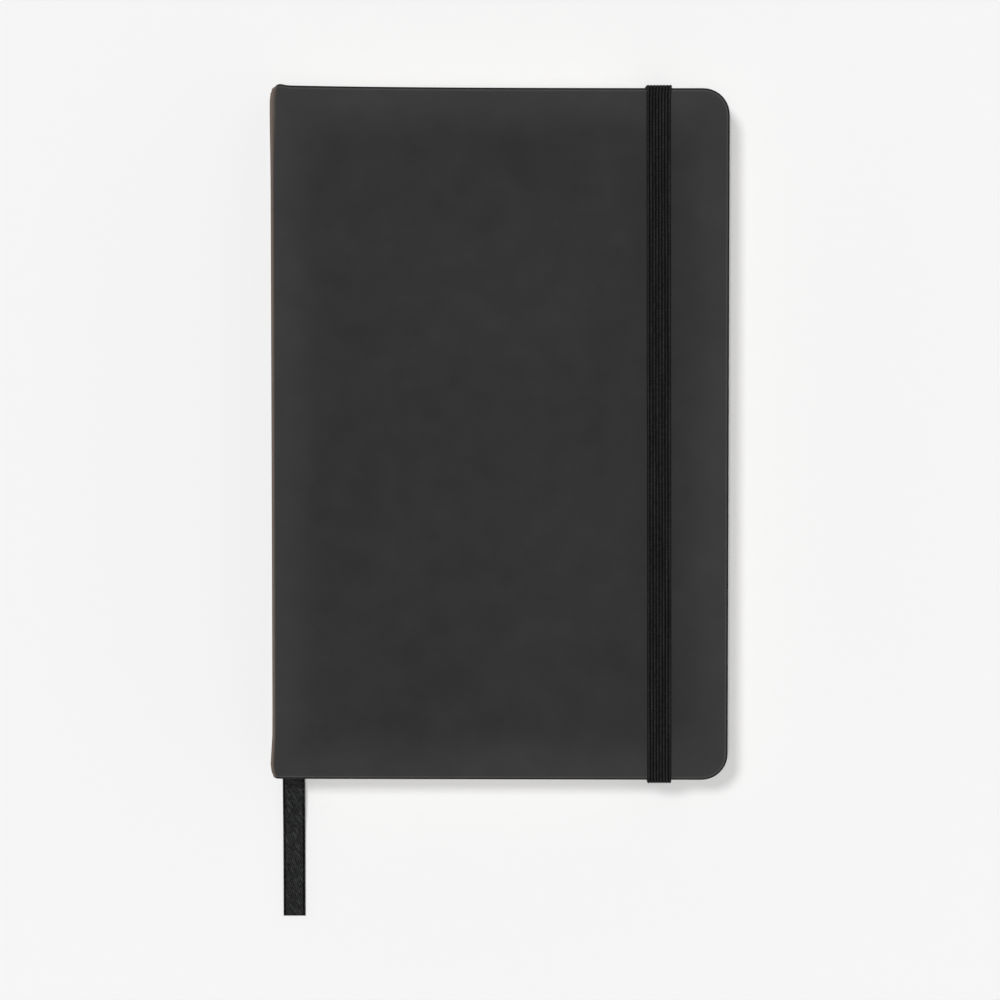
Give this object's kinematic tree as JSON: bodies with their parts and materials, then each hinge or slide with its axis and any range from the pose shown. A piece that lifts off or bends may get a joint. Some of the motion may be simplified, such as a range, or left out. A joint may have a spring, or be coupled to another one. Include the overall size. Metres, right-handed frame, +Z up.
{
  "type": "sketchbook",
  "caption": "Hard-cover sketchbook with sewn sections, a register ribbon and an elastic band that holds the cover shut.",
  "frame": {"origin": "on the surface the book lies on, under the middle of the cover", "axes": "+X from the spine to the fore-edge, +Y from tail to head, +Z up through the front cover; the book lies on its back cover"},
  "size_m": [0.139, 0.2556, 0.0174],
  "materials": {
    "soft_touch": "matte",
    "grey_board": "matte",
    "spine_card": "matte",
    "endpaper": "matte",
    "drawing_paper": "matte",
    "mull": "matte",
    "headband_cloth": "satin",
    "sewing_thread": "matte",
    "ribbon_weave": "satin",
    "elastic_weave": "matte"
  },
  "bodies": {
    "back_cover": {"back_board": "grey_board", "back_cover_wrap": "soft_touch", "back_pastedown": "endpaper", "back_flyleaf": "endpaper", "ribbon": "ribbon_weave", "ribbon_tail": "ribbon_weave", "elastic_anchor_head": "elastic_weave", "elastic_anchor_tail": "elastic_weave"},
    "spine": {"spine_strip": "spine_card", "spine_wrap": "soft_touch", "spine_lining": "mull", "headband": "headband_cloth", "tailband": "headband_cloth", "sewing_thread": "sewing_thread", "ribbon_glued_end": "ribbon_weave", "back_hinge_skin": "soft_touch", "front_hinge_skin": "soft_touch"},
    "front_cover": {"front_board": "grey_board", "front_cover_wrap": "soft_touch", "front_pastedown": "endpaper"},
    "front_flyleaf": {"front_flyleaf": "endpaper"},
    "signature_01": {"signature_01": "drawing_paper"},
    "signature_02": {"signature_02": "drawing_paper"},
    "signature_03": {"signature_03": "drawing_paper"},
    "signature_04": {"signature_04": "drawing_paper"},
    "signature_05": {"signature_05": "drawing_paper"},
    "signature_06": {"signature_06": "drawing_paper"},
    "signature_07": {"signature_07": "drawing_paper"},
    "signature_08": {"signature_08": "drawing_paper"},
    "signature_09": {"signature_09": "drawing_paper"},
    "signature_10": {"signature_10": "drawing_paper"},
    "strap_legs": {"elastic_leg_head": "elastic_weave", "elastic_leg_tail": "elastic_weave"},
    "strap_run": {"elastic_run": "elastic_weave"}
  },
  "joints": [
    {"name": "spine_hinge", "type": "hinge", "parent": "back_cover", "child": "spine", "pos_m": [-0.0685, 0, 0.001], "axis": [0, -1, 0], "range_deg": [0, 90], "deforming": ["back_hinge_skin"]},
    {"name": "cover_opening", "type": "hinge", "parent": "spine", "child": "front_cover", "pos_m": [-0.0685, 0, 0.0155], "axis": [0, -1, 0], "range_deg": [0, 90], "deforming": ["front_hinge_skin"]},
    {"name": "front_flyleaf_turn", "type": "hinge", "parent": "spine", "child": "front_flyleaf", "pos_m": [-0.0685, 0, 0.0155], "axis": [0, -1, 0], "range_deg": [0, 89.21]},
    {"name": "signature_01_turn", "type": "hinge", "parent": "spine", "child": "signature_01", "pos_m": [-0.0685, 0, 0.0155], "axis": [0, -1, 0], "range_deg": [0, 88.81]},
    {"name": "signature_02_turn", "type": "hinge", "parent": "spine", "child": "signature_02", "pos_m": [-0.0685, 0, 0.0155], "axis": [0, -1, 0], "range_deg": [0, 88.31]},
    {"name": "signature_03_turn", "type": "hinge", "parent": "spine", "child": "signature_03", "pos_m": [-0.0685, 0, 0.0155], "axis": [0, -1, 0], "range_deg": [0, 87.81]},
    {"name": "signature_04_turn", "type": "hinge", "parent": "spine", "child": "signature_04", "pos_m": [-0.0685, 0, 0.0155], "axis": [0, -1, 0], "range_deg": [0, 87.21]},
    {"name": "signature_05_turn", "type": "hinge", "parent": "spine", "child": "signature_05", "pos_m": [-0.0685, 0, 0.0155], "axis": [0, -1, 0], "range_deg": [0, 86.51]},
    {"name": "signature_06_turn", "type": "hinge", "parent": "spine", "child": "signature_06", "pos_m": [-0.0685, 0, 0.001], "axis": [0, -1, 0], "range_deg": [-86.81, 0]},
    {"name": "signature_07_turn", "type": "hinge", "parent": "spine", "child": "signature_07", "pos_m": [-0.0685, 0, 0.001], "axis": [0, -1, 0], "range_deg": [-87.51, 0]},
    {"name": "signature_08_turn", "type": "hinge", "parent": "spine", "child": "signature_08", "pos_m": [-0.0685, 0, 0.001], "axis": [0, -1, 0], "range_deg": [-88.11, 0]},
    {"name": "signature_09_turn", "type": "hinge", "parent": "spine", "child": "signature_09", "pos_m": [-0.0685, 0, 0.001], "axis": [0, -1, 0], "range_deg": [-88.71, 0]},
    {"name": "signature_10_turn", "type": "hinge", "parent": "spine", "child": "signature_10", "pos_m": [-0.0685, 0, 0.001], "axis": [0, -1, 0], "range_deg": [-89.31, 0]},
    {"name": "strap_release", "type": "hinge", "parent": "back_cover", "child": "strap_legs", "pos_m": [0.0484, 0, 0.00047], "axis": [0, 1, 0], "range_deg": [0, 70], "stiffness_Nm_per_rad": 0.001, "springref_deg": -28.65, "deforming": ["elastic_leg_head", "elastic_leg_tail"]},
    {"name": "strap_stretch", "type": "slide", "parent": "strap_legs", "child": "strap_run", "axis": [0, 0, 1], "range_m": [0, 0.0221], "deforming": ["elastic_run"]}
  ],
  "couplings": [
    {"joint": "spine_hinge", "follows": "cover_opening", "ratio": 1},
    {"joint": "front_flyleaf_turn", "follows": "cover_opening", "ratio": 0.99111},
    {"joint": "signature_01_turn", "follows": "cover_opening", "ratio": 0.98667},
    {"joint": "signature_02_turn", "follows": "cover_opening", "ratio": 0.98111},
    {"joint": "signature_03_turn", "follows": "cover_opening", "ratio": 0.97556},
    {"joint": "signature_04_turn", "follows": "cover_opening", "ratio": 0.96889},
    {"joint": "signature_05_turn", "follows": "cover_opening", "ratio": 0.96111},
    {"joint": "signature_06_turn", "follows": "cover_opening", "ratio": -0.96444},
    {"joint": "signature_07_turn", "follows": "cover_opening", "ratio": -0.97222},
    {"joint": "signature_08_turn", "follows": "cover_opening", "ratio": -0.97889},
    {"joint": "signature_09_turn", "follows": "cover_opening", "ratio": -0.98556},
    {"joint": "signature_10_turn", "follows": "cover_opening", "ratio": -0.99222},
    {"joint": "strap_stretch", "follows": "strap_release", "m_per_rad": 0.018}
  ]
}
